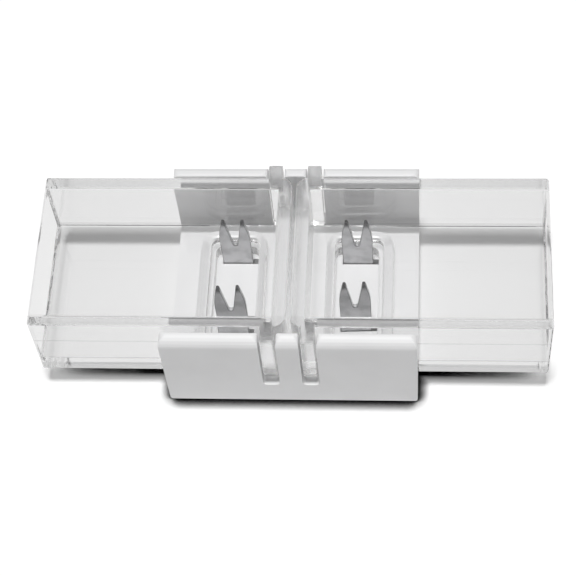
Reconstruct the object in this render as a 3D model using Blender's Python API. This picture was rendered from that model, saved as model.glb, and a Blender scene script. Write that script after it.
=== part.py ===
"""Double-ended clip connector for two lengths of light strip, as a Blender model.

A white channel-shaped base carries two stamped contacts, each with a piercing fork at either end.
Two clear sleeves, open at their outer ends, hold the strips and press down over the forks.
Thin guide fins on the sleeves run in slots in the base's side walls.

Units are metres, +X runs along the connector, +Z is up, and the origin is under the middle of the base.
"""

import math

import bmesh
import bpy
from mathutils import Matrix

MM = 0.001

# Clearances
SEAT_GAP = 0.35 * MM
FIN_GAP = 0.13 * MM
CONTACT_GAP = 0.30 * MM
FORK_GAP = 0.06 * MM
FORK_BACK_GAP = 0.12 * MM
FORK_SIDE_GAP = 0.08 * MM
FORK_SLOT_RUN = 0.4 * MM
TIP_GAP = 0.9 * MM

# White base
BASE_LENGTH = 19.65 * MM
BASE_WIDTH = 16.4 * MM
BASE_HEIGHT = 9.15 * MM
BASE_WALL = 1.07 * MM
BASE_FLOOR = 2.05 * MM
BASE_TOP_ROUND = 0.8 * MM
BASE_LIP_ROUND = 0.15 * MM
BASE_CORNER_ROUND = 0.55 * MM
BASE_FOOT_ROUND = 0.25 * MM
BASE_INNER_ROUND = 0.3 * MM

# Guide slots in the side walls
SLOT_CENTRE = 1.55 * MM
SLOT_FLOOR_HEIGHT = 2.7 * MM
SLOT_FOOT_ROUND = 0.35 * MM
SLOT_MOUTH_ROUND = 0.45 * MM

# Clear sleeves
SLEEVE_REACH = 20.0 * MM
SLEEVE_SPLIT = 0.3 * MM
SLEEVE_TOP = 9.45 * MM
SLEEVE_WALL = 0.87 * MM
SLEEVE_ROOF = 0.4 * MM
SLEEVE_FLOOR = 1.13 * MM
SLEEVE_END_WALL = 1.1 * MM
SLEEVE_TOP_ROUND = 0.15 * MM
SLEEVE_FOOT_ROUND = 0.15 * MM
SLEEVE_INNER_END_ROUND = 1.0 * MM
SLEEVE_MOUTH_ROUND = 0.35 * MM
SLEEVE_MOUTH_LIP = 0.3 * MM
SLEEVE_SPLIT_ROUND = 0.12 * MM
CAVITY_FLOOR_ROUND = 0.15 * MM
CAVITY_ROOF_ROUND = 0.15 * MM

# Window over the forks, with its raised rim
WINDOW_CENTRE = 4.85 * MM
WINDOW_LENGTH = 3.5 * MM
WINDOW_WIDTH = 7.8 * MM
WINDOW_ROUND = 0.55 * MM
RIM_NEAR_WIDTH = 0.7 * MM
RIM_FAR_WIDTH = 0.9 * MM
RIM_SIDE_WIDTH = 0.9 * MM
RIM_FAR_LAND = 0.35 * MM
RIM_SIDE_LAND = 0.45 * MM
RIM_CORNER = 1.4 * MM
RIM_INNER_CORNER = 0.6 * MM
RIM_HEIGHT = 0.5 * MM
RIM_ROUND = 0.33 * MM

# Guide fins
FIN_THICKNESS = 1.08 * MM
FIN_REVEAL = 0.1 * MM
FIN_FOOT_CLEARANCE = 0.4 * MM
FIN_TOP_ROUND = 0.4 * MM
FIN_TOE_LENGTH = 1.1 * MM
FIN_TOE_DEPTH = 0.45 * MM
FIN_EDGE_ROUND = 0.07 * MM

# Stamped contacts
CONTACT_THICKNESS = 0.3 * MM
CONTACT_PITCH = 5.86 * MM
CONTACT_OFFSET = 0.47 * MM
CONTACT_FRONT_SKEW = 2.2
CONTACT_BAR_FOOT = 0.35 * MM
CONTACT_BAR_WIDTH = 0.7 * MM
FORK_CENTRE = 4.9 * MM
FORK_FOOT_WIDTH = 2.4 * MM
FORK_BELLY_WIDTH = 2.47 * MM
FORK_BELLY_RISE = 0.6 * MM
FORK_TIP_SPACING = 1.52 * MM
FORK_TIP_ROUND = 0.12 * MM
FORK_NOTCH_WIDTH = 0.38 * MM
FORK_NOTCH_DEPTH = 3.45 * MM

ARC_STEPS = 5
ROUND_STEPS = 2
WELD = 0.001 * MM
CUT_PAST = 1.0 * MM
HOLE_PAST = 0.01 * MM

# Heights that follow from the sizes above
SLEEVE_BOTTOM = BASE_FLOOR + SEAT_GAP
CAVITY_FLOOR = SLEEVE_BOTTOM + SLEEVE_FLOOR
CAVITY_ROOF = SLEEVE_TOP - SLEEVE_ROOF
CHANNEL_HALF = BASE_WIDTH / 2 - BASE_WALL
SLEEVE_HALF = CHANNEL_HALF - SEAT_GAP
CONTACT_BAR_TOP = CONTACT_BAR_FOOT + CONTACT_BAR_WIDTH
FORK_TIP_HEIGHT = CAVITY_ROOF - TIP_GAP
FIN_FOOT_HEIGHT = SLOT_FLOOR_HEIGHT + FIN_FOOT_CLEARANCE
FIN_HALF_SPAN = BASE_WIDTH / 2 - FIN_REVEAL
SLOT_WIDTH = FIN_THICKNESS + 2 * FIN_GAP


def clear_scene():
    """Remove every object that the opened file holds."""
    for item in list(bpy.data.objects):
        bpy.data.objects.remove(item, do_unlink=True)


def new_collection(name):
    """Return a new collection linked to the scene."""
    collection = bpy.data.collections.new(name)
    bpy.context.scene.collection.children.link(collection)
    return collection


def new_material(name, color, roughness, metallic=0.0, alpha=1.0, transmission=0.0):
    """Return a Principled material with the given finish."""
    material = bpy.data.materials.new(name)
    material.use_nodes = True
    shader = material.node_tree.nodes["Principled BSDF"]
    shader.inputs["Base Color"].default_value = (*color, 1.0)
    shader.inputs["Roughness"].default_value = roughness
    shader.inputs["Metallic"].default_value = metallic
    shader.inputs["Alpha"].default_value = alpha
    shader.inputs["Transmission Weight"].default_value = transmission
    return material


def arc(centre, radius, start_deg, end_deg, steps=ARC_STEPS):
    """Return points on an arc, from start to end, both included."""
    points = []
    for index in range(steps + 1):
        angle = math.radians(start_deg + (end_deg - start_deg) * index / steps)
        points.append((centre[0] + radius * math.cos(angle), centre[1] + radius * math.sin(angle)))
    return points


def rounded_box_outline(low, high, radii):
    """Return a rectangle with its corners rounded.

    radii gives the corners' radii at (low, low), (high, low), (high, high) and (low, high).
    """
    signs = ((-1, -1), (1, -1), (1, 1), (-1, 1))
    points = []
    for index, (sign, radius) in enumerate(zip(signs, radii)):
        corner = (high[0] if sign[0] > 0 else low[0], high[1] if sign[1] > 0 else low[1])
        if radius <= 0:
            points.append(corner)
            continue
        centre = (corner[0] - sign[0] * radius, corner[1] - sign[1] * radius)
        points.extend(arc(centre, radius, 180 + 90 * index, 270 + 90 * index))
    return points


def plate(name, outlines, axis, low, high, edge_round=0.0):
    """Return a flat plate whose faces lie square to an axis, from low to high.

    The first outline is the plate's edge and any others are holes in it. Their two numbers are (y, z) for
    axis X, (x, z) for axis Y and (x, y) for axis Z. With edge_round, all its edges are rounded.
    """
    curve = bpy.data.curves.new(name, "CURVE")
    curve.dimensions = "2D"
    curve.fill_mode = "BOTH"
    curve.extrude = (high - low) / 2 - edge_round
    curve.bevel_depth = edge_round
    curve.bevel_resolution = ROUND_STEPS
    curve.offset = -edge_round
    for outline in outlines:
        spline = curve.splines.new("POLY")
        spline.points.add(len(outline) - 1)
        for point, (a, b) in zip(spline.points, outline):
            point.co = (a, b, 0.0, 1.0)
        spline.use_cyclic_u = True
    flat = bpy.data.objects.new(f"{name}_outline", curve)
    middle = (low + high) / 2
    flat.location, flat.rotation_euler = {
        "X": ((middle, 0.0, 0.0), (math.pi / 2, 0.0, math.pi / 2)),
        "Y": ((0.0, middle, 0.0), (math.pi / 2, 0.0, 0.0)),
        "Z": ((0.0, 0.0, middle), (0.0, 0.0, 0.0)),
    }[axis]
    bpy.context.scene.collection.objects.link(flat)
    bpy.context.view_layer.update()
    mesh = bpy.data.meshes.new_from_object(flat.evaluated_get(bpy.context.evaluated_depsgraph_get()))
    mesh.name = name
    solid = bpy.data.objects.new(name, mesh)
    solid.matrix_world = flat.matrix_world
    bpy.data.objects.remove(flat, do_unlink=True)
    shape = bmesh.new()
    shape.from_mesh(mesh)
    bmesh.ops.remove_doubles(shape, verts=shape.verts, dist=WELD)
    bmesh.ops.recalc_face_normals(shape, faces=shape.faces)
    shape.to_mesh(mesh)
    shape.free()
    return solid


def block(name, low, high):
    """Return a box between two corners."""
    centre = [(a + b) / 2 for a, b in zip(low, high)]
    sides = [b - a for a, b in zip(low, high)]
    shape = bmesh.new()
    bmesh.ops.create_cube(shape, size=1.0, matrix=Matrix.LocRotScale(centre, None, sides))
    mesh = bpy.data.meshes.new(name)
    shape.to_mesh(mesh)
    shape.free()
    return bpy.data.objects.new(name, mesh)


class Workshop:
    """Holds the two collections and adds Boolean steps to the parts."""

    def __init__(self):
        self.parts = new_collection("led_strip_connector")
        self.cutters = new_collection("cutters")

    def holder(self, name, place=(0.0, 0.0, 0.0), turn=0.0):
        """Return an empty that carries parts at a place, turned about the vertical."""
        empty = bpy.data.objects.new(name, None)
        empty.location = place
        empty.rotation_euler.z = turn
        self.parts.objects.link(empty)
        return empty

    def keep(self, item, material):
        """Put a finished part in the parts collection with its material."""
        self.parts.objects.link(item)
        item.data.materials.append(material)
        item.data.shade_smooth()
        item.data.set_sharp_from_angle(angle=math.radians(35))
        return item

    def combine(self, part, tool, operation, seat=None):
        """Add one exact Boolean step to a part, and hide its tool, which a seat may carry."""
        self.cutters.objects.link(tool)
        tool.parent = seat or part.parent
        tool.hide_render = True
        tool.display_type = "WIRE"
        step = part.modifiers.new(f"{operation.lower()}_{tool.name}", "BOOLEAN")
        step.operation = operation
        step.solver = "EXACT"
        step.object = tool


def channel_outline():
    """Return the base's U-shaped section in Y and Z."""
    half = BASE_WIDTH / 2
    foot = BASE_FOOT_ROUND
    top = BASE_TOP_ROUND
    lip = BASE_LIP_ROUND
    inner = BASE_INNER_ROUND
    right_half = []
    right_half.extend(arc((half - foot, foot), foot, -90, 0))
    right_half.extend(arc((half - top, BASE_HEIGHT - top), top, 0, 90))
    right_half.extend(arc((CHANNEL_HALF + lip, BASE_HEIGHT - lip), lip, 90, 180))
    right_half.extend(arc((CHANNEL_HALF - inner, BASE_FLOOR + inner), inner, 0, -90))
    left_half = [(-y, z) for y, z in reversed(right_half)]
    return right_half + left_half


def guide_slot_outline(centre):
    """Return one guide slot in X and Z, with a rounded foot and a flared mouth."""
    half = SLOT_WIDTH / 2
    foot = min(SLOT_FOOT_ROUND, half * 0.9)
    mouth = SLOT_MOUTH_ROUND
    right_half = []
    right_half.extend(arc((half - foot, SLOT_FLOOR_HEIGHT + foot), foot, -90, 0))
    right_half.extend(arc((half + mouth, BASE_HEIGHT - mouth), mouth, 180, 90))
    right_half.append((half + mouth, BASE_HEIGHT + CUT_PAST))
    left_half = [(-x, z) for x, z in reversed(right_half)]
    return [(centre + x, z) for x, z in right_half + left_half]


def contact_seats(shop):
    """Return the empties that carry the two contacts and their beds in the base."""
    front = CONTACT_OFFSET - CONTACT_PITCH / 2
    back = CONTACT_OFFSET + CONTACT_PITCH / 2
    return {
        "contact_front": shop.holder("front_seat", (0.0, front, 0.0), math.radians(CONTACT_FRONT_SKEW)),
        "contact_back": shop.holder("back_seat", (0.0, back, 0.0)),
    }


def build_base(shop, seats, material):
    """Build the white channel with its guide slots and the beds of the two contacts."""
    half = BASE_LENGTH / 2
    base = plate("base", [channel_outline()], "X", -half, half)
    ends = rounded_box_outline((-half, 0.0), (half, BASE_HEIGHT), (BASE_CORNER_ROUND,) * 4)
    reach = BASE_WIDTH / 2 + CUT_PAST
    shop.combine(base, plate("base_end_rounding", [ends], "Y", -reach, reach), "INTERSECT")
    for side, centre in (("left", -SLOT_CENTRE), ("right", SLOT_CENTRE)):
        slot = plate(f"{side}_guide_slots", [guide_slot_outline(centre)], "Y", -reach, reach)
        shop.combine(base, slot, "DIFFERENCE")
    contact_half = CONTACT_THICKNESS / 2
    play = contact_half + CONTACT_GAP
    fork_half = FORK_FOOT_WIDTH / 2 + FORK_SIDE_GAP
    groove_half = FORK_CENTRE + fork_half + FORK_SLOT_RUN
    for name, seat in seats.items():
        groove = block(
            f"{name}_groove",
            (-groove_half, -play, -CUT_PAST),
            (groove_half, play, CONTACT_BAR_TOP + CONTACT_GAP),
        )
        shop.combine(base, groove, "DIFFERENCE", seat)
        for label, middle in (("left", -FORK_CENTRE), ("right", FORK_CENTRE)):
            slot = block(
                f"{name}_{label}_slot",
                (middle - fork_half, -contact_half - FORK_GAP, CONTACT_BAR_FOOT),
                (middle + fork_half + FORK_SLOT_RUN, contact_half + FORK_BACK_GAP, BASE_FLOOR + CUT_PAST),
            )
            shop.combine(base, slot, "DIFFERENCE", seat)
    return shop.keep(base, material)


def sleeve_plan():
    """Return the right sleeve's outline in X and Y, rounder at its closed inner end."""
    inner = SLEEVE_SPLIT / 2
    rounds = (SLEEVE_INNER_END_ROUND, SLEEVE_MOUTH_ROUND, SLEEVE_MOUTH_ROUND, SLEEVE_INNER_END_ROUND)
    return rounded_box_outline((inner, -SLEEVE_HALF), (SLEEVE_REACH, SLEEVE_HALF), rounds)


def rim_outline(near, far, side, corner):
    """Return a rounded rectangle round the window, set out by a distance towards each end and side."""
    low = (WINDOW_CENTRE - WINDOW_LENGTH / 2 - near, -WINDOW_WIDTH / 2 - side)
    high = (WINDOW_CENTRE + WINDOW_LENGTH / 2 + far, WINDOW_WIDTH / 2 + side)
    return rounded_box_outline(low, high, (corner,) * 4)


def fin_outline(way):
    """Return a guide fin's section in Y and Z; way is -1 for the front one and 1 for the back one."""
    root = SLEEVE_HALF - SLEEVE_WALL / 2
    section = [(root, FIN_FOOT_HEIGHT), (FIN_HALF_SPAN - FIN_TOE_DEPTH, FIN_FOOT_HEIGHT)]
    section.append((FIN_HALF_SPAN, FIN_FOOT_HEIGHT + FIN_TOE_LENGTH))
    top_centre = (FIN_HALF_SPAN - FIN_TOP_ROUND, SLEEVE_TOP - FIN_TOP_ROUND)
    section.extend(arc(top_centre, FIN_TOP_ROUND, 0, 90))
    section.append((root, SLEEVE_TOP))
    return [(way * y, z) for y, z in section]


def build_sleeve(shop, name, turn, material):
    """Build one clear sleeve, which points along +X before it is turned about the vertical."""
    body = plate(name, [sleeve_plan()], "Z", SLEEVE_BOTTOM, SLEEVE_TOP)
    body.parent = shop.holder(f"{name}_lift", turn=turn)
    past_end = SLEEVE_REACH + CUT_PAST
    section = rounded_box_outline(
        (-SLEEVE_HALF, SLEEVE_BOTTOM),
        (SLEEVE_HALF, SLEEVE_TOP),
        (SLEEVE_FOOT_ROUND, SLEEVE_FOOT_ROUND, SLEEVE_TOP_ROUND, SLEEVE_TOP_ROUND),
    )
    shop.combine(body, plate(f"{name}_section", [section], "X", -CUT_PAST, past_end), "INTERSECT")
    ends = rounded_box_outline(
        (SLEEVE_SPLIT / 2, SLEEVE_BOTTOM),
        (SLEEVE_REACH, SLEEVE_TOP),
        (SLEEVE_SPLIT_ROUND, SLEEVE_MOUTH_LIP, SLEEVE_MOUTH_LIP, SLEEVE_SPLIT_ROUND),
    )
    shop.combine(body, plate(f"{name}_ends", [ends], "Y", -BASE_WIDTH, BASE_WIDTH), "INTERSECT")

    cavity_half = SLEEVE_HALF - SLEEVE_WALL
    cavity_start = SLEEVE_SPLIT / 2 + SLEEVE_END_WALL
    cavity = rounded_box_outline(
        (-cavity_half, CAVITY_FLOOR),
        (cavity_half, CAVITY_ROOF),
        (CAVITY_FLOOR_ROUND, CAVITY_FLOOR_ROUND, CAVITY_ROOF_ROUND, CAVITY_ROOF_ROUND),
    )
    shop.combine(body, plate(f"{name}_cavity", [cavity], "X", cavity_start, past_end), "DIFFERENCE")

    land = rim_outline(0.0, RIM_FAR_LAND, RIM_SIDE_LAND, RIM_INNER_CORNER)
    far = RIM_FAR_LAND + RIM_FAR_WIDTH
    edge = rim_outline(RIM_NEAR_WIDTH, far, RIM_SIDE_LAND + RIM_SIDE_WIDTH, RIM_CORNER)
    rim_foot = CAVITY_FLOOR - SLEEVE_FLOOR / 2
    rim = plate(f"{name}_rim", [edge, land], "Z", rim_foot, CAVITY_FLOOR + RIM_HEIGHT, RIM_ROUND)
    shop.combine(body, rim, "UNION")
    opening = rim_outline(HOLE_PAST, HOLE_PAST, HOLE_PAST, WINDOW_ROUND)
    window = plate(f"{name}_window", [opening], "Z", SLEEVE_BOTTOM - CUT_PAST, CAVITY_FLOOR + CUT_PAST)
    shop.combine(body, window, "DIFFERENCE")

    fin_ends = (SLOT_CENTRE - FIN_THICKNESS / 2, SLOT_CENTRE + FIN_THICKNESS / 2)
    for label, way in (("front", -1), ("back", 1)):
        fin = plate(f"{name}_{label}_fin", [fin_outline(way)], "X", *fin_ends, FIN_EDGE_ROUND)
        shop.combine(body, fin, "UNION")
    return shop.keep(body, material)


def fork_outline():
    """Return one fork in X and Z from its foot up, centred on X zero, without the bottom edge."""
    foot_half = FORK_FOOT_WIDTH / 2
    belly_half = FORK_BELLY_WIDTH / 2
    tip_x = FORK_TIP_SPACING / 2
    tip_round = FORK_TIP_ROUND
    notch_half = FORK_NOTCH_WIDTH / 2
    notch_height = FORK_TIP_HEIGHT - FORK_NOTCH_DEPTH
    belly_height = notch_height + FORK_BELLY_RISE
    right_half = [(notch_half * math.sin(a), notch_height + notch_half * (1 - math.cos(a)))
                  for a in (math.radians(15 * k) for k in range(6))]
    tip_centre = (tip_x, FORK_TIP_HEIGHT - tip_round)
    right_half.extend(arc(tip_centre, tip_round, 160, 20, 4))
    shoulder = (tip_x + tip_round, FORK_TIP_HEIGHT - tip_round)
    for index in range(1, 6):
        share = index / 5
        x = shoulder[0] + (belly_half - shoulder[0]) * math.sin(share * math.pi / 2)
        z = shoulder[1] + (belly_height - shoulder[1]) * share
        right_half.append((x, z))
    right_half.append((foot_half, CONTACT_BAR_TOP))
    left_half = [(-x, z) for x, z in reversed(right_half[1:])]
    return left_half + right_half


def build_contact(shop, name, seat, material):
    """Build one stamped contact: a plate on edge, with a bar along its foot and a fork at each end."""
    end = FORK_CENTRE + FORK_FOOT_WIDTH / 2
    right_side = [(FORK_CENTRE + x, z) for x, z in fork_outline()] + [(end, CONTACT_BAR_FOOT)]
    left_side = [(-x, z) for x, z in reversed(right_side)]
    half = CONTACT_THICKNESS / 2
    contact = plate(name, [left_side + right_side], "Y", -half, half)
    contact.parent = seat
    return shop.keep(contact, material)


def main():
    """Build the whole connector."""
    clear_scene()
    shop = Workshop()
    white = new_material("white_plastic", (0.86, 0.86, 0.86), 0.4)
    clear = new_material("clear_plastic", (0.94, 0.95, 0.95), 0.05, alpha=0.3, transmission=1.0)
    metal = new_material("tinned_metal", (0.62, 0.62, 0.63), 0.3, metallic=1.0)
    seats = contact_seats(shop)
    build_base(shop, seats, white)
    build_sleeve(shop, "left_sleeve", math.pi, clear)
    build_sleeve(shop, "right_sleeve", 0.0, clear)
    for name, seat in seats.items():
        build_contact(shop, name, seat, metal)


main()
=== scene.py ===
"""Looks of a strip light connector with a white base, clear press-down sleeves and piercing contacts.

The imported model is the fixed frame, and no piece is added to it. Its nodes keep their shapes and get
moulded and stamped finishes, in a plain pale room. Lengths are in metres, +Z up.
"""

import logging
import math
from dataclasses import dataclass, field
from enum import Enum
from typing import Sequence

import bpy
from mathutils import Matrix, Vector

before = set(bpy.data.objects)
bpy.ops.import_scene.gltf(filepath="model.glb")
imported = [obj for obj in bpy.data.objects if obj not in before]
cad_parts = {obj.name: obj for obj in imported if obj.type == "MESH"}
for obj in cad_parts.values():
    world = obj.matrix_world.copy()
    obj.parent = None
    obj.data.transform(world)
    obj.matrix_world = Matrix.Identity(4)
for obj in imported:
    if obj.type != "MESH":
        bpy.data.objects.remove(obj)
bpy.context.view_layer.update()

logging.basicConfig(level=logging.INFO, format="%(levelname)s %(name)s: %(message)s")
LOG = logging.getLogger("connector")

MM = 0.001
Color = tuple[float, float, float]
Point = tuple[float, float, float]
Socket = bpy.types.NodeSocket
Level = float | Socket


class GroupName(Enum):
    """Names of the shared shader node groups."""

    MOULD_RIPPLE = "mould_ripple"
    HANDLING_MARKS = "handling_marks"


class Sheen(Enum):
    """How rough a surface is left by the tool that moulded or rolled it."""

    POLISHED = 0.003
    SATIN = 0.32
    DULL = 0.42


@dataclass(frozen=True)
class Marks:
    """The faint duller patches of a surface: their scale, how much they leave clean, their softness."""

    scale: float
    cover: float
    softness: float


@dataclass(frozen=True)
class Ripple:
    """The waviness and grain of a surface, with the strength and depth in metres of its bump."""

    wave_scale: float
    grain_scale: float
    grain_share: float
    strength: float
    depth: float


def scaled(color: Color, share: float) -> Color:
    """Return a colour with each part multiplied by a share."""
    return tuple(part * share for part in color)


class Graph:
    """Adds nodes to the tree of a material, a world or a node group."""

    def __init__(self, tree: bpy.types.NodeTree) -> None:
        """Keep the tree that gets the nodes."""
        self.tree = tree

    def add(self, kind: str) -> bpy.types.Node:
        """Return a new node of one kind."""
        return self.tree.nodes.new(kind)

    def feed(self, socket: Socket, value: Level | Color) -> None:
        """Link an input to an output, or set its number or colour.

        Args:
            socket: The input to feed.
            value: The output that feeds it, or the number or colour that it gets.
        """
        if isinstance(value, Socket):
            self.tree.links.new(value, socket)
        elif isinstance(value, tuple):
            socket.default_value = (*value, 1.0)
        else:
            socket.default_value = value

    def calculate(self, operation: str, *values: Level) -> Socket:
        """Place one Math node.

        Args:
            operation: The node's operation.
            values: Its inputs, in order.

        Returns:
            The node's result.
        """
        node = self.add("ShaderNodeMath")
        node.operation = operation
        for socket, value in zip(node.inputs, values):
            self.feed(socket, value)
        return node.outputs["Value"]

    def above(self, value: Level, limit: float) -> Socket:
        """Return a socket that is 1 where a value is past a limit."""
        return self.calculate("GREATER_THAN", value, limit)

    def below(self, value: Level, limit: float) -> Socket:
        """Return a socket that is 1 where a value is short of a limit."""
        return self.calculate("LESS_THAN", value, limit)

    def product(self, first: Level, *others: Level) -> Socket:
        """Multiply levels, so that masks only keep what all of them hold.

        Args:
            first: The first level.
            others: The levels to multiply it by.

        Returns:
            The product.
        """
        for other in others:
            first = self.calculate("MULTIPLY", first, other)
        return first

    def largest(self, first: Level, *others: Level) -> Socket:
        """Take the largest of some levels, so that masks keep what any of them holds.

        Args:
            first: The first level.
            others: The levels to compare it with.

        Returns:
            The largest level.
        """
        for other in others:
            first = self.calculate("MAXIMUM", first, other)
        return first

    def mix(self, share: Level, first: Level | Color, second: Level | Color) -> Socket:
        """Place one Mix node for numbers, or for colours when a colour is given.

        Args:
            share: How much of the second value to take, from 0 to 1.
            first: The value at 0.
            second: The value at 1.

        Returns:
            The node's result.
        """
        node = self.add("ShaderNodeMix")
        node.data_type = "RGBA" if tuple in (type(first), type(second)) else "FLOAT"
        self.feed(node.inputs["Factor"], share)
        self.feed(node.inputs["A"], first)
        self.feed(node.inputs["B"], second)
        return node.outputs["Result"]

    def ramp(self, value: Level, start: Level, end: Level, smooth: bool = False) -> Socket:
        """Place one Map Range node that climbs from 0 to 1.

        Args:
            value: The value that is mapped.
            start: The value that gives 0.
            end: The value that gives 1.
            smooth: Whether the climb starts and ends gently.

        Returns:
            The node's result.
        """
        node = self.add("ShaderNodeMapRange")
        node.interpolation_type = "SMOOTHSTEP" if smooth else "LINEAR"
        self.feed(node.inputs["Value"], value)
        self.feed(node.inputs["From Min"], start)
        self.feed(node.inputs["From Max"], end)
        return node.outputs["Result"]

    def place(self) -> Socket:
        """Return a socket with a point's place in its own piece's coordinates."""
        return self.add("ShaderNodeTexCoord").outputs["Object"]

    def split(self, vector: Socket) -> tuple[Socket, Socket, Socket]:
        """Take a vector apart.

        Args:
            vector: The vector.

        Returns:
            Sockets for its X, Y and Z.
        """
        node = self.add("ShaderNodeSeparateXYZ")
        self.feed(node.inputs["Vector"], vector)
        return node.outputs["X"], node.outputs["Y"], node.outputs["Z"]

    def noise(self, scale: Level, detail: float) -> Socket:
        """Place one Noise Texture node that stays with its piece.

        Args:
            scale: The noise's scale.
            detail: How many finer layers it has.

        Returns:
            The noise, round 0.5.
        """
        node = self.add("ShaderNodeTexNoise")
        self.feed(node.inputs["Vector"], self.place())
        self.feed(node.inputs["Scale"], scale)
        self.feed(node.inputs["Detail"], detail)
        return node.outputs["Fac"]

    def ray(self, question: str) -> Socket:
        """Return the Light Path socket that answers one question about the ray."""
        return self.add("ShaderNodeLightPath").outputs[question]


class NodeGroupKit:
    """Builds each shared shader node group once and places it in materials."""

    def __init__(self) -> None:
        """Start with no group built."""
        self._built: dict[GroupName, bpy.types.NodeTree] = {}

    def place(
        self, tree: bpy.types.NodeTree, name: GroupName, values: dict[str, float]
    ) -> bpy.types.Node:
        """Place a shared group in a material and set its inputs.

        Args:
            tree: The material's node tree.
            name: Which group to place.
            values: Input names and their values.

        Returns:
            The group node.
        """
        if name not in self._built:
            makers = {
                GroupName.MOULD_RIPPLE: self._make_mould_ripple,
                GroupName.HANDLING_MARKS: self._make_handling_marks,
            }
            self._built[name] = makers[name]()
        node = tree.nodes.new("ShaderNodeGroup")
        node.node_tree = self._built[name]
        for socket_name, value in values.items():
            node.inputs[socket_name].default_value = value
        return node

    @staticmethod
    def _new_group(
        name: GroupName, inputs: dict[str, float], outputs: Sequence[str]
    ) -> bpy.types.NodeTree:
        """Create an empty group with float sockets.

        Args:
            name: The group's name.
            inputs: Input names and their defaults.
            outputs: Output names.

        Returns:
            The group's node tree.
        """
        tree = bpy.data.node_groups.new(name.value, "ShaderNodeTree")
        kind = "NodeSocketFloat"
        for socket_name, value in inputs.items():
            socket = tree.interface.new_socket(socket_name, in_out="INPUT", socket_type=kind)
            socket.default_value = value
        for socket_name in outputs:
            tree.interface.new_socket(socket_name, in_out="OUTPUT", socket_type=kind)
        return tree

    def _make_mould_ripple(self) -> bpy.types.NodeTree:
        """Build the slow waviness and fine grain of a moulded surface.

        Returns:
            The group, whose Height output feeds a Bump node.
        """
        tree = self._new_group(
            GroupName.MOULD_RIPPLE,
            {"Wave Scale": 180.0, "Grain Scale": 2600.0, "Grain Share": 0.25},
            ("Height",),
        )
        graph = Graph(tree)
        given = graph.add("NodeGroupInput").outputs
        result = graph.add("NodeGroupOutput").inputs
        wave = graph.noise(given["Wave Scale"], detail=1.0)
        grain = graph.noise(given["Grain Scale"], detail=2.0)
        graph.feed(result["Height"], graph.mix(given["Grain Share"], wave, grain))
        return tree

    def _make_handling_marks(self) -> bpy.types.NodeTree:
        """Build the faint patches where a surface is a little duller.

        Returns:
            The group, whose Mask output is 0 where clean and up to 1 where marked.
        """
        tree = self._new_group(
            GroupName.HANDLING_MARKS, {"Patch Scale": 320.0, "Cover": 0.5, "Softness": 0.2}, ("Mask",)
        )
        graph = Graph(tree)
        given = graph.add("NodeGroupInput").outputs
        result = graph.add("NodeGroupOutput").inputs
        patches = graph.noise(given["Patch Scale"], detail=4.0)
        full = graph.calculate("ADD", given["Cover"], given["Softness"])
        graph.feed(result["Mask"], graph.ramp(patches, given["Cover"], full, smooth=True))
        return tree


GROUPS = NodeGroupKit()


class MaterialGraph(Graph):
    """Adds nodes to a new material, round its Principled shader."""

    def __init__(self, name: str) -> None:
        """Make the material.

        Args:
            name: The material's name.
        """
        self.material = bpy.data.materials.new(name)
        self.material.use_nodes = True
        super().__init__(self.material.node_tree)

    def set(self, values: dict[str, Level | Color]) -> None:
        """Feed inputs of the Principled shader.

        Args:
            values: Input names with the output, number or colour for each.
        """
        shader = self.tree.nodes["Principled BSDF"]
        for name, value in values.items():
            self.feed(shader.inputs[name], value)

    def mark(self, marks: Marks) -> Socket:
        """Place the duller patches.

        Args:
            marks: What the patches are like.

        Returns:
            Their mask, up to 1 where the surface is marked.
        """
        values = {"Patch Scale": marks.scale, "Cover": marks.cover, "Softness": marks.softness}
        return GROUPS.place(self.tree, GroupName.HANDLING_MARKS, values).outputs["Mask"]

    def ripple(self, ripple: Ripple) -> None:
        """Give the surface its waviness and grain.

        Args:
            ripple: What they are like.
        """
        values = {
            "Wave Scale": ripple.wave_scale,
            "Grain Scale": ripple.grain_scale,
            "Grain Share": ripple.grain_share,
        }
        group = GROUPS.place(self.tree, GroupName.MOULD_RIPPLE, values)
        bump = self.add("ShaderNodeBump")
        self.feed(bump.inputs["Strength"], ripple.strength)
        self.feed(bump.inputs["Distance"], ripple.depth)
        self.feed(bump.inputs["Height"], group.outputs["Height"])
        self.set({"Normal": bump.outputs["Normal"]})


@dataclass(frozen=True)
class WhitePlastic:
    """Moulded white plastic of the base."""

    name: str = "white_moulded_plastic"
    color: Color = (0.84, 0.84, 0.845)
    marked_tone: float = 0.975
    roughness: float = Sheen.SATIN.value
    marked_dulling: float = 0.08
    ior: float = 1.5
    marks: Marks = Marks(scale=260.0, cover=0.42, softness=0.25)
    ripple: Ripple = Ripple(
        wave_scale=220.0, grain_scale=4200.0, grain_share=0.12, strength=0.25, depth=0.05 * MM
    )

    def build(self) -> bpy.types.Material:
        """Build the finish.

        Returns:
            The material.
        """
        graph = MaterialGraph(self.name)
        marked = graph.mark(self.marks)
        graph.set(
            {
                "IOR": self.ior,
                "Base Color": graph.mix(marked, self.color, scaled(self.color, self.marked_tone)),
                "Roughness": graph.mix(marked, self.roughness, self.roughness + self.marked_dulling),
            }
        )
        graph.ripple(self.ripple)
        return graph.material


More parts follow.
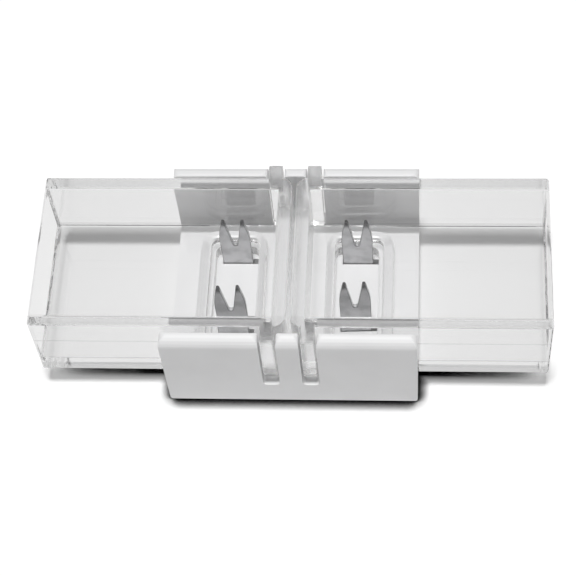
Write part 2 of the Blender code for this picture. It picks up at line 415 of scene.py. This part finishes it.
@dataclass(frozen=True)
class SleeveZones:
    """Where a sleeve's finish changes, in metres.

    The ends are distances from the connector's middle along X. Inside, outside and sides are distances
    along Y, below zero where only the front counts. The others are heights with the sleeves pressed
    down, and parting_width is half the parting line's.
    """

    seat_end: float = 9.85 * MM
    inner_end: float = 1.3 * MM
    wall_inside: float = 5.88 * MM
    wall_outside: float = 6.8 * MM
    wall_foot: float = 3.45 * MM
    land_height: float = 9.4 * MM
    fin_toe: float = 4.25 * MM
    right_fin_side: float = -7.3 * MM
    gate_top: float = 6.4 * MM
    parting_height: float = 6.95 * MM
    parting_width: float = 0.08 * MM
    parting_side: float = 6.7 * MM
    rim_foot: float = 2.35 * MM
    rim_low: float = 3.56 * MM
    rim_high: float = 4.1 * MM
    rim_side: float = 5.5 * MM
    rim_end: float = 8.5 * MM


@dataclass(frozen=True)
class SleeveSpot:
    """Sockets that say where a point is on a sleeve.

    The first three are its X, Y and Z. Along and across are its distances from the connector's middle,
    and level is 1 on faces that lie level.
    """

    lengthwise: Socket
    sideways: Socket
    height: Socket
    along: Socket
    across: Socket
    level: Socket


@dataclass(frozen=True)
class ClearPlastic:
    """Clear moulded plastic of the sleeves.

    A share is how far the colour goes to shade_and_mark_color, a pass how much lamp light comes through, and a
    haze how much roughness a zone gets.
    """

    name: str = "clear_moulded_plastic"
    color: Color = (0.985, 0.985, 0.985)
    # The deeper grey paints shade on the side walls and their feet, and greys the parting line and the
    # right front fin.
    shade_and_mark_color: Color = (0.7, 0.7, 0.7)
    wall_shade_share: float = 0.15
    land_shade_share: float = 0.5
    right_fin_share: float = 0.5
    depth_color: Color = (0.5, 0.5, 0.5)
    depth_density: float = 16.0
    roughness: float = Sheen.POLISHED.value
    ior: float = 1.49
    level_facing: float = 0.97
    flat_pass: float = 0.97
    round_pass: float = 0.55
    seated_wall_pass: float = 0.65
    back_wall_pass: float = 0.38
    front_wall_pass: float = 0.68
    mark_haze: float = 0.05
    inner_haze: float = 0.22
    rim_haze: float = 0.25
    gate_haze: float = 0.5
    zones: SleeveZones = SleeveZones()
    marks: Marks = Marks(scale=420.0, cover=0.55, softness=0.2)
    gate_marks: Marks = Marks(scale=1900.0, cover=0.4, softness=0.2)
    ripple: Ripple = Ripple(
        wave_scale=240.0, grain_scale=1800.0, grain_share=0.06, strength=0.05, depth=0.03 * MM
    )

    def _find_spot(self, graph: MaterialGraph) -> SleeveSpot:
        """Place the sockets that the zones are told apart by.

        Args:
            graph: The material's graph.

        Returns:
            The sockets.
        """
        lengthwise, sideways, height = graph.split(graph.place())
        _, _, facing_up = graph.split(graph.add("ShaderNodeNewGeometry").outputs["Normal"])
        return SleeveSpot(
            lengthwise=lengthwise,
            sideways=sideways,
            height=height,
            along=graph.calculate("ABSOLUTE", lengthwise),
            across=graph.calculate("ABSOLUTE", sideways),
            level=graph.above(graph.calculate("ABSOLUTE", facing_up), self.level_facing),
        )

    def _right_fin_mark(self, graph: MaterialGraph, spot: SleeveSpot) -> Socket:
        """Find the right front fin, all of which is greyed and a little frosted, with rough spots low
        down where the plastic entered the mould.

        Args:
            graph: The material's graph.
            spot: Where a point is.

        Returns:
            A socket that is 0 elsewhere, a fixed share all over the right front fin and up to 1 at its
            rough spots.
        """
        front = graph.below(spot.sideways, self.zones.right_fin_side)
        right = graph.above(spot.lengthwise, 0.0)
        low = graph.below(spot.height, self.zones.gate_top)
        rough = graph.product(low, graph.mark(self.gate_marks))
        return graph.product(front, right, graph.largest(rough, self.right_fin_share))

    def _paint_shade_and_marks(self, graph: MaterialGraph, spot: SleeveSpot, right_fin: Socket) -> None:
        """Paint shade grey onto the side walls, most on their narrow tops, and onto their outer feet;
        grey the front parting line and the right front fin too.

        Args:
            graph: The material's graph.
            spot: Where a point is.
            right_fin: The mask of the right front fin and its rough spots.
        """
        zones = self.zones
        on_top = graph.above(spot.height, zones.land_height)
        in_wall = graph.above(spot.across, zones.wall_inside)
        # Painted shade: the walls a little grey, their narrow tops more.
        shaded_land = graph.product(in_wall, graph.mix(on_top, self.wall_shade_share, self.land_shade_share))
        near = graph.above(spot.across, zones.parting_side)
        on_face = graph.product(near, graph.below(spot.across, zones.wall_outside))
        line = graph.calculate("COMPARE", spot.height, zones.parting_height, zones.parting_width)
        line = graph.product(line, graph.below(spot.sideways, 0.0))
        # Painted shade along the walls' outer feet.
        shaded_foot = graph.below(spot.height, zones.wall_foot)
        share = graph.largest(shaded_land, graph.product(on_face, graph.largest(line, shaded_foot)), right_fin)
        graph.set({"Base Color": graph.mix(share, self.color, self.shade_and_mark_color)})

    def _haze(self, graph: MaterialGraph, spot: SleeveSpot, right_fin: Socket) -> None:
        """Frost the inner ends, the fins and the rim a little, and dull the handled patches.

        Light that is only carried on sees the plastic polished, so that the haze adds none.

        Args:
            graph: The material's graph.
            spot: Where a point is.
            right_fin: The mask of the right front fin and its rough spots.
        """
        zones = self.zones
        past_wall = graph.above(spot.across, zones.wall_outside)
        on_fin = graph.product(past_wall, graph.above(spot.height, zones.fin_toe))
        inner = graph.largest(graph.below(spot.along, zones.inner_end), on_fin)
        upright = graph.calculate("SUBTRACT", 1.0, spot.level)
        rim = graph.product(
            graph.largest(upright, graph.above(spot.height, zones.rim_low)),
            graph.above(spot.height, zones.rim_foot),
            graph.below(spot.height, zones.rim_high),
            graph.below(spot.across, zones.rim_side),
            graph.below(spot.along, zones.rim_end),
        )
        haze = graph.largest(
            graph.product(graph.mark(self.marks), self.mark_haze),
            graph.product(inner, self.inner_haze),
            graph.product(rim, self.rim_haze),
            graph.product(right_fin, self.gate_haze),
        )
        seen = graph.below(graph.ray("Diffuse Depth"), 0.5)
        haze = graph.product(haze, seen)
        graph.set({"Roughness": graph.calculate("ADD", haze, self.roughness)})

    def _let_light_through(self, graph: MaterialGraph, spot: SleeveSpot) -> None:
        """Let lamp light pass the plates, less at rounded edges and least down the upright walls.

        Args:
            graph: The material's graph.
            spot: Where a point is.
        """
        at_back = graph.above(spot.sideways, 0.0)
        open_pass = graph.mix(at_back, self.front_wall_pass, self.back_wall_pass)
        clear_of_base = graph.above(spot.along, self.zones.seat_end)
        wall_pass = graph.mix(clear_of_base, self.seated_wall_pass, open_pass)
        in_wall = graph.above(spot.across, self.zones.wall_inside)
        passed = graph.product(
            graph.mix(spot.level, self.round_pass, self.flat_pass),
            graph.mix(in_wall, 1.0, wall_pass),
            graph.ray("Is Shadow Ray"),
        )
        graph.set({"Alpha": graph.calculate("SUBTRACT", 1.0, passed)})

    def _darken_with_depth(self, graph: MaterialGraph) -> None:
        """Take a little light along the way through, so that walls seen end-on are greyer.

        Args:
            graph: The material's graph.
        """
        depth = graph.add("ShaderNodeVolumeAbsorption")
        graph.feed(depth.inputs["Color"], self.depth_color)
        graph.feed(depth.inputs["Density"], self.depth_density)
        graph.feed(graph.tree.nodes["Material Output"].inputs["Volume"], depth.outputs["Volume"])

    def build(self) -> bpy.types.Material:
        """Build the finish.

        Returns:
            The material.
        """
        graph = MaterialGraph(self.name)
        graph.set({"Transmission Weight": 1.0, "IOR": self.ior})
        graph.ripple(self.ripple)
        spot = self._find_spot(graph)
        right_fin = self._right_fin_mark(graph, spot)
        self._paint_shade_and_marks(graph, spot, right_fin)
        self._haze(graph, spot, right_fin)
        self._let_light_through(graph, spot)
        self._darken_with_depth(graph)
        return graph.material


@dataclass(frozen=True)
class StampedMetal:
    """Dull tinned sheet of the contacts."""

    name: str = "stamped_tinned_metal"
    color: Color = (0.52, 0.52, 0.53)
    marked_tone: float = 0.8
    edge_and_tip_shade_color: Color = (0.07, 0.07, 0.072)
    cut_width: float = 0.13 * MM
    edge_samples: int = 8
    flat_facing: float = 0.995
    edge_facing: float = 0.85
    tip_start: float = 7.2 * MM
    tip_end: float = 8.0 * MM
    roughness: float = Sheen.DULL.value
    marked_dulling: float = 0.1
    marks: Marks = Marks(scale=900.0, cover=0.4, softness=0.3)
    ripple: Ripple = Ripple(
        wave_scale=900.0, grain_scale=6000.0, grain_share=0.4, strength=0.3, depth=0.02 * MM
    )

    def _edge_and_tip_shade_mask(self, graph: MaterialGraph) -> Socket:
        """Find the sheared edges and the sharpened tips, which get painted shade: it stands in for the
        shade and dark reflections on their tilted faces, and at the edges partly for the darker sheared
        metal.

        Args:
            graph: The material's graph.

        Returns:
            A socket that is 1 at cut edges and tips and 0 on the flat faces.
        """
        rounded = graph.add("ShaderNodeBevel")
        rounded.samples = self.edge_samples
        graph.feed(rounded.inputs["Radius"], self.cut_width)
        facing = graph.add("ShaderNodeVectorMath")
        facing.operation = "DOT_PRODUCT"
        graph.feed(facing.inputs[0], rounded.outputs["Normal"])
        graph.feed(facing.inputs[1], graph.add("ShaderNodeNewGeometry").outputs["True Normal"])
        edge = graph.ramp(facing.outputs["Value"], self.flat_facing, self.edge_facing)
        _, _, height = graph.split(graph.place())
        return graph.largest(edge, graph.ramp(height, self.tip_start, self.tip_end, smooth=True))

    def build(self) -> bpy.types.Material:
        """Build the finish.

        Returns:
            The material.
        """
        graph = MaterialGraph(self.name)
        marked = graph.mark(self.marks)
        rolled = graph.mix(marked, self.color, scaled(self.color, self.marked_tone))
        graph.set(
            {
                "Metallic": 1.0,
                # Painted shade darkens the sheared edges and the sharpened tips.
                "Base Color": graph.mix(self._edge_and_tip_shade_mask(graph), rolled, self.edge_and_tip_shade_color),
                "Roughness": graph.mix(marked, self.roughness, self.roughness + self.marked_dulling),
            }
        )
        graph.ripple(self.ripple)
        return graph.material


@dataclass
class Assembly:
    """Carried nodes that share one finish."""

    nodes: tuple[str, ...]
    finish: WhitePlastic | ClearPlastic | StampedMetal

    def dress(self) -> None:
        """Give every node the finish, in every slot."""
        material = self.finish.build()
        for node in self.nodes:
            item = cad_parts[node]
            if not item.material_slots:
                item.data.materials.append(material)
            for slot in item.material_slots:
                slot.material = material
            LOG.info("dressed %s with %s", node, material.name)


@dataclass
class Base(Assembly):
    """White channel base."""

    nodes: tuple[str, ...] = ("base",)
    finish: WhitePlastic = field(default_factory=WhitePlastic)


@dataclass
class Sleeves(Assembly):
    """The two clear sleeves."""

    nodes: tuple[str, ...] = ("left_sleeve", "right_sleeve")
    finish: ClearPlastic = field(default_factory=ClearPlastic)


@dataclass
class Contacts(Assembly):
    """The two stamped contacts."""

    nodes: tuple[str, ...] = ("contact_front", "contact_back")
    finish: StampedMetal = field(default_factory=StampedMetal)


@dataclass
class Studio:
    """Pale floor, soft light and the camera.

    An openness pair says how open the floor is where its shade is deepest and where it ends. The wall
    band gives four distances from the middle along Y: the shade starts, is full, fades and has ended.
    """

    camera_place: Point = (10.894 * MM, -72.888 * MM, 126.350 * MM)
    look_yaw_deg: float = -8.96
    look_down_deg: float = 58.96
    roll_deg: float = -7.36
    focal_px: float = 1787.3
    frame_px: float = 576.0
    sensor_mm: float = 36.0
    near_clip: float = 0.01
    far_clip: float = 10.0
    floor_half: float = 0.6
    floor_drop: float = 0.02 * MM
    floor_color: float = 0.82
    floor_through: float = 0.87
    floor_seen: float = 1.05
    foot_reach: float = 1.4 * MM
    foot_openness: tuple[float, float] = (0.5, 0.96)
    wall_reach: float = 12.0 * MM
    wall_openness: tuple[float, float] = (0.305, 0.54)
    wall_band: tuple[float, float, float, float] = (4.2 * MM, 5.2 * MM, 5.8 * MM, 6.45 * MM)
    shade_power: float = 1.8
    shade_samples: int = 12
    room_light: float = 0.2
    room_glossy: float = 0.3
    room_seen: float = 0.95
    key_light: float = 0.8
    key_place: Point = (-0.008, -0.07, 0.8)
    key_size: float = 0.13
    light_bounces: int = 32

    def build_camera(self) -> None:
        """Place the camera at the photograph's viewing angle."""
        angles = (self.look_yaw_deg, self.look_down_deg, self.roll_deg)
        yaw, down, roll = (math.radians(angle) for angle in angles)
        reach = math.cos(down)
        forward = Vector((math.sin(yaw) * reach, math.cos(yaw) * reach, -math.sin(down)))
        level = Vector((math.cos(yaw), -math.sin(yaw), 0.0))
        upward = level.cross(forward)
        right = math.cos(roll) * level + math.sin(roll) * upward
        up = -math.sin(roll) * level + math.cos(roll) * upward
        data = bpy.data.cameras.new("camera")
        data.sensor_fit = "HORIZONTAL"
        data.sensor_width = self.sensor_mm
        data.lens = self.focal_px / self.frame_px * self.sensor_mm
        data.clip_start = self.near_clip
        data.clip_end = self.far_clip
        camera = bpy.data.objects.new("camera", data)
        turn = Matrix((right, up, -forward)).transposed()
        camera.matrix_world = Matrix.Translation(self.camera_place) @ turn.to_4x4()
        bpy.context.scene.collection.objects.link(camera)
        bpy.context.scene.camera = camera

    @staticmethod
    def _by_ray(graph: Graph, lit: float, glossy: float, through: float, direct: Level) -> Socket:
        """Give a value that depends on what kind of ray looks at the background.

        Args:
            graph: The graph of the floor or of the world.
            lit: The value for rays that only carry light.
            glossy: The value for reflected rays.
            through: The value for rays that come through clear plastic.
            direct: The value for the camera's own rays.

        Returns:
            A socket with the value.
        """
        level = graph.mix(graph.ray("Is Glossy Ray"), lit, glossy)
        level = graph.mix(graph.ray("Is Transmission Ray"), level, through)
        level = graph.mix(graph.ray("Is Camera Ray"), level, direct)
        return graph.mix(graph.ray("Diffuse Depth"), level, lit)

    def _nook(self, graph: Graph, reach: float, openness: tuple[float, float]) -> Socket:
        """Find where the floor is shut in by the connector.

        Args:
            graph: The floor's graph.
            reach: How near the connector has to be to count.
            openness: How open the floor is where the shade is deepest, and where it ends.

        Returns:
            A socket that is 0 where the floor is shut in and 1 where it is open.
        """
        nook = graph.add("ShaderNodeAmbientOcclusion")
        nook.samples = self.shade_samples
        graph.feed(nook.inputs["Distance"], reach)
        clear = graph.ramp(nook.outputs["AO"], *openness, smooth=True)
        return graph.calculate("POWER", clear, self.shade_power)

    def _contact_shade(self, graph: Graph) -> Socket:
        """Paint shade into the floor's colour close to the base's foot and beneath the sleeves' long
        walls.

        Args:
            graph: The floor's graph.

        Returns:
            A socket that is 0 in the deepest shade and 1 on the open floor.
        """
        _, sideways, _ = graph.split(graph.place())
        across = graph.calculate("ABSOLUTE", sideways)
        start, full, fade, end = self.wall_band
        aside = graph.largest(graph.ramp(across, full, start), graph.ramp(across, fade, end))
        beneath = graph.largest(self._nook(graph, self.wall_reach, self.wall_openness), aside)
        shaded_foot = self._nook(graph, self.foot_reach, self.foot_openness)
        return graph.calculate("MINIMUM", beneath, shaded_foot)

    def _floor_material(self) -> bpy.types.Material:
        """Build the floor's pale material, which reads white to the camera, with shade painted into its
        colour near the connector.

        Returns:
            The material.
        """
        graph = MaterialGraph("pale_floor")
        # The camera sees the floor's colour darkened by painted shade near the connector.
        seen = graph.product(self._contact_shade(graph), self.floor_seen)
        level = self._by_ray(graph, self.floor_color, self.floor_color, self.floor_through, seen)
        tone = graph.add("ShaderNodeCombineColor")
        for channel in ("Red", "Green", "Blue"):
            graph.feed(tone.inputs[channel], level)
        graph.set({"Roughness": 1.0, "Specular IOR Level": 0.0, "Base Color": tone.outputs["Color"]})
        return graph.material

    def build_floor(self) -> None:
        """Lay the floor under the connector."""
        half = self.floor_half
        mesh = bpy.data.meshes.new("floor")
        corners = [(-half, -half, 0.0), (half, -half, 0.0), (half, half, 0.0), (-half, half, 0.0)]
        mesh.from_pydata(corners, [], [(0, 1, 2, 3)])
        floor = bpy.data.objects.new("floor", mesh)
        floor.location.z = -self.floor_drop
        floor.data.materials.append(self._floor_material())
        bpy.context.scene.collection.objects.link(floor)

    def build_world(self) -> None:
        """Fill the room with even pale light, and show it white behind the floor."""
        world = bpy.data.worlds.new("studio")
        world.use_nodes = True
        bpy.context.scene.world = world
        graph = Graph(world.node_tree)
        sky = graph.tree.nodes["Background"]
        level = self._by_ray(graph, self.room_light, self.room_glossy, self.room_seen, self.room_seen)
        graph.feed(sky.inputs["Strength"], level)
        graph.feed(sky.inputs["Color"], (1.0, 1.0, 1.0))

    def build_key(self) -> None:
        """Hang the soft square lamp that points at the connector."""
        data = bpy.data.lights.new("key", "AREA")
        data.shape = "SQUARE"
        data.size = self.key_size
        # This power makes a white floor straight below, at that distance, as bright as key_light.
        data.energy = self.key_light * (math.pi * Vector(self.key_place).length) ** 2
        lamp = bpy.data.objects.new("key", data)
        lamp.location = self.key_place
        lamp.visible_transmission = False
        lamp.rotation_euler = (-Vector(self.key_place)).to_track_quat("-Z", "Y").to_euler()
        bpy.context.scene.collection.objects.link(lamp)

    def build(self) -> None:
        """Build the whole studio."""
        scene = bpy.context.scene
        scene.view_settings.view_transform = "Standard"
        self.build_camera()
        self.build_floor()
        self.build_world()
        self.build_key()
        scene.cycles.max_bounces = self.light_bounces
        scene.cycles.transmission_bounces = self.light_bounces
        scene.cycles.glossy_bounces = self.light_bounces
        scene.cycles.blur_glossy = 0.0


def main() -> None:
    """Build the studio and dress the connector."""
    Studio().build()
    for assembly in (Base(), Sleeves(), Contacts()):
        assembly.dress()


if __name__ == "__main__":
    main()
